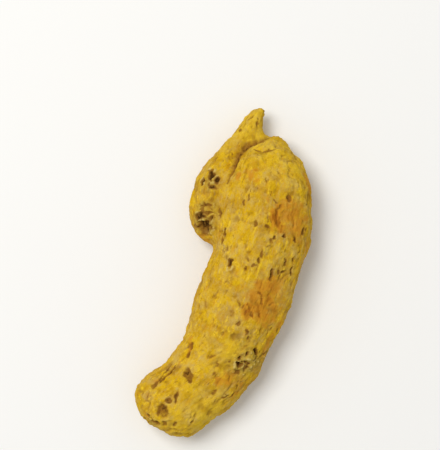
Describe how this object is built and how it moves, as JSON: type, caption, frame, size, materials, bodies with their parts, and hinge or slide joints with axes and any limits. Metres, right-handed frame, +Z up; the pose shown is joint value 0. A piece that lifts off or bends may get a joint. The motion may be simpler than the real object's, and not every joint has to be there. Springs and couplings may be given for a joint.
{
  "type": "turmeric root",
  "caption": "Dried turmeric rhizome lying on its side: a bent, blunt-ended finger with a shorter tapering side lobe fused to one flank and a narrow worn flat underneath.",
  "frame": {"origin": "middle of the bounding box, at its bottom, on the plane that the root rests on", "axes": "+Y along the finger, from its lower end to its thick upper end; +Z up, away from the resting face; the side lobe is on the -X side"},
  "size_m": [0.0336, 0.0804, 0.0189],
  "materials": {
    "dry_skin": "matt, dusty ochre-yellow dried skin with orange-brown bare patches, dark pits and greenish-grey scars"
  },
  "bodies": {
    "root": {"turmeric_rhizome": "dry_skin"}
  },
  "joints": []
}
